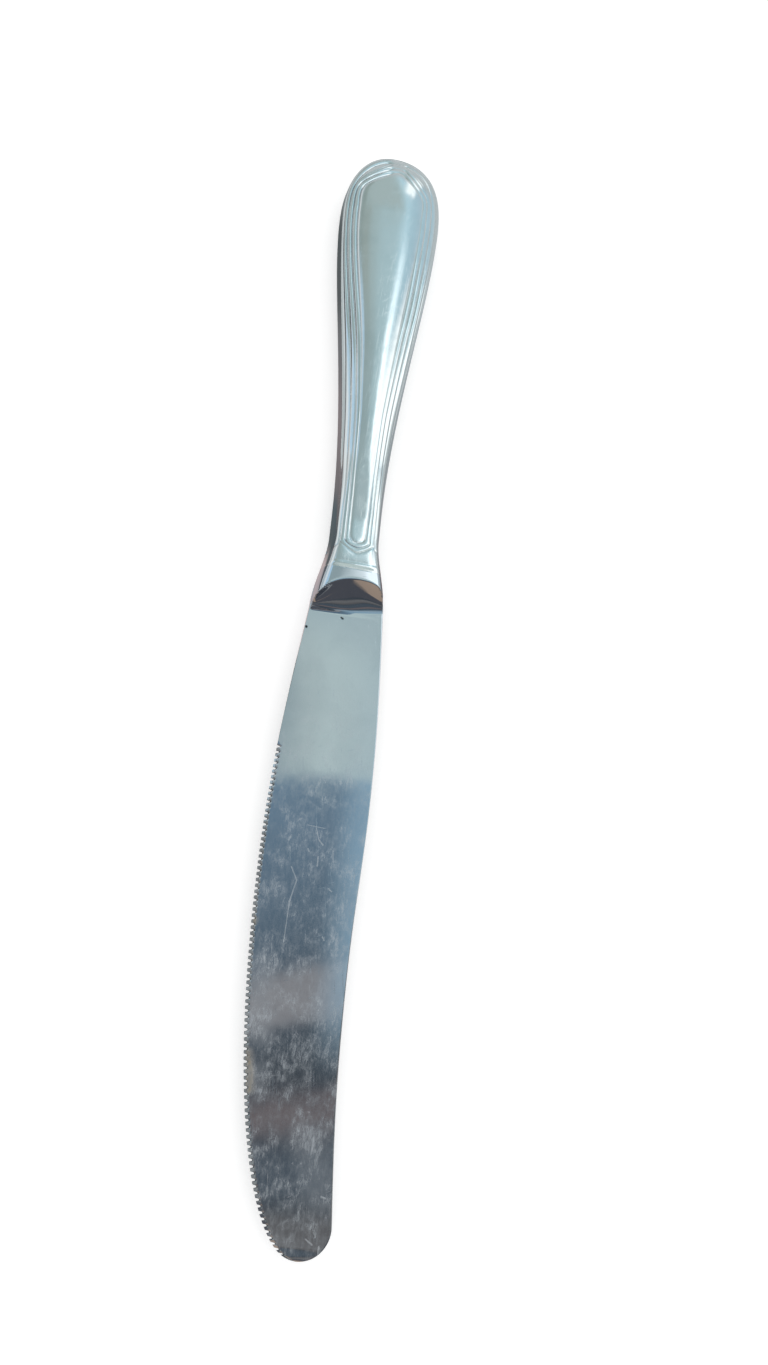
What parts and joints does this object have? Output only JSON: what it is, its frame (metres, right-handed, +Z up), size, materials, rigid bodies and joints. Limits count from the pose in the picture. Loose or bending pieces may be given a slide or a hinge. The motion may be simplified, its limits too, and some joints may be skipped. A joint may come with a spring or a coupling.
{
  "type": "table knife",
  "caption": "Hollow-handled stainless table knife with a thread-bordered handle, a short bolster and a curved, finely serrated blade for cutting food at table.",
  "frame": {"origin": "under the middle of the knife's box, on the surface that it lies on", "axes": "+X from the butt to the tip, +Y from the cutting edge to the spine, +Z up from the surface"},
  "size_m": [0.2416, 0.0236, 0.0104],
  "materials": {
    "handle_steel": "polished, with fine wear",
    "blade_steel": "polished, with scratches and specks",
    "braze": "ground flush",
    "filler": "dull"
  },
  "bodies": {
    "root": {"blade": "blade_steel", "front_handle_shell": "handle_steel", "rear_handle_shell": "handle_steel", "seam_braze": "braze", "neck_braze": "braze", "handle_filler": "filler"}
  },
  "joints": []
}
